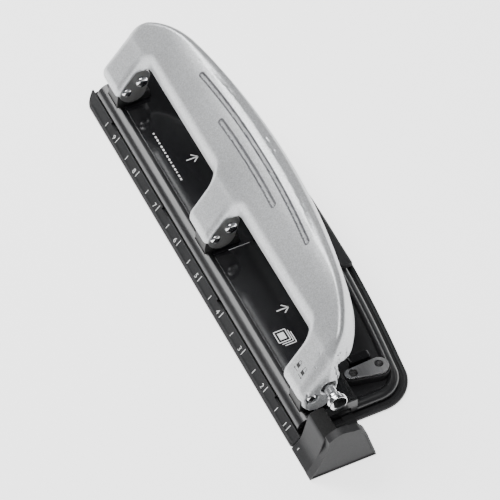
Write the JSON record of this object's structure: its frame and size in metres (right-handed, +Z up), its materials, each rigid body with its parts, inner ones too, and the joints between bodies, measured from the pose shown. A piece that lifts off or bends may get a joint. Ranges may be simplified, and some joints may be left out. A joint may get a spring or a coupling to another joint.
{
  "type": "three-hole desk punch",
  "caption": "Desk hole punch with an arched lever handle on three legs, sprung punch pins, a chip tray, a sliding paper guide and a lock pin.",
  "frame": {"origin": "on the table, at the middle of the centre foot, under the middle hole's station and half way between the front and back edges", "axes": "+X along the paper edge towards the paper guide, +Y from the operator's side to the back, +Z up"},
  "size_m": [0.27, 0.0765, 0.0693],
  "materials": {
    "silver_paint": "satin silver paint with fine metallic flake",
    "bracket_steel": "satin grey pressed steel",
    "bright_chrome": "bright plated",
    "tool_steel": "ground steel",
    "dark_steel": "blackened steel",
    "gloss_black": "polished black",
    "grey_plastic": "fine-grained dark grey",
    "black_rubber": "matte"
  },
  "bodies": {
    "base": {"base_housing": "gloss_black", "top_panel_left": "gloss_black", "top_panel_right": "gloss_black", "die_plate": "tool_steel", "paper_stop": "grey_plastic", "rear_rest": "grey_plastic", "anchor_strap_left": "tool_steel", "anchor_strap_right": "tool_steel", "strap_pedestal_left": "grey_plastic", "strap_pedestal_right": "grey_plastic", "strap_rivet_left_front": "dark_steel", "strap_rivet_left_rear": "dark_steel", "strap_rivet_right_front": "dark_steel", "strap_rivet_right_rear": "dark_steel", "punch_tower_1": "dark_steel", "punch_tower_2": "dark_steel", "punch_tower_3": "dark_steel", "pivot_bolt_1": "bright_chrome", "pivot_bolt_2": "bright_chrome", "pivot_bolt_3": "bright_chrome", "return_spring_1": "tool_steel", "return_spring_2": "tool_steel", "return_spring_3": "tool_steel"},
    "handle": {"handle_shell": "silver_paint", "lever_bracket_1": "bracket_steel", "lever_bracket_2": "bracket_steel", "lever_bracket_3": "bracket_steel", "drive_bolt_1": "bright_chrome", "drive_bolt_2": "bright_chrome", "drive_bolt_3": "bright_chrome"},
    "punch_1": {"punch_pin_1": "tool_steel"},
    "punch_2": {"punch_pin_2": "tool_steel"},
    "punch_3": {"punch_pin_3": "tool_steel"},
    "lock": {"lock_pin": "bright_chrome"},
    "guide": {"paper_guide": "grey_plastic"},
    "tray": {"chip_tray": "grey_plastic", "rubber_foot_1": "black_rubber", "rubber_foot_2": "black_rubber", "rubber_foot_3": "black_rubber", "rubber_foot_4": "black_rubber", "rubber_foot_5": "black_rubber"}
  },
  "joints": [
    {"name": "handle_hinge", "type": "hinge", "parent": "base", "child": "handle", "pos_m": [0, -0.0243, 0.025], "axis": [-1, 0, 0], "range_deg": [0, 24], "stiffness_Nm_per_rad": 0.6, "springref_deg": -17.19},
    {"name": "punch_slide_1", "type": "slide", "parent": "base", "child": "punch_1", "axis": [0, 0, -1], "range_m": [0, 0.0039], "deforming": ["return_spring_1"]},
    {"name": "punch_slide_2", "type": "slide", "parent": "base", "child": "punch_2", "axis": [0, 0, -1], "range_m": [0, 0.0039], "deforming": ["return_spring_2"]},
    {"name": "punch_slide_3", "type": "slide", "parent": "base", "child": "punch_3", "axis": [0, 0, -1], "range_m": [0, 0.0039], "deforming": ["return_spring_3"]},
    {"name": "lock_slide", "type": "slide", "parent": "handle", "child": "lock", "axis": [-1, 0, 0], "range_m": [0, 0.002]},
    {"name": "guide_slide", "type": "slide", "parent": "base", "child": "guide", "axis": [1, 0, 0], "range_m": [0, 0.02]},
    {"name": "tray_hinge", "type": "hinge", "parent": "base", "child": "tray", "pos_m": [0, 0.037, 0.0006], "axis": [1, 0, 0], "range_deg": [0, 50]}
  ],
  "couplings": [
    {"joint": "punch_slide_1", "follows": "handle_hinge", "m_per_rad": 0.00915},
    {"joint": "punch_slide_2", "follows": "handle_hinge", "m_per_rad": 0.00915},
    {"joint": "punch_slide_3", "follows": "handle_hinge", "m_per_rad": 0.00915}
  ]
}
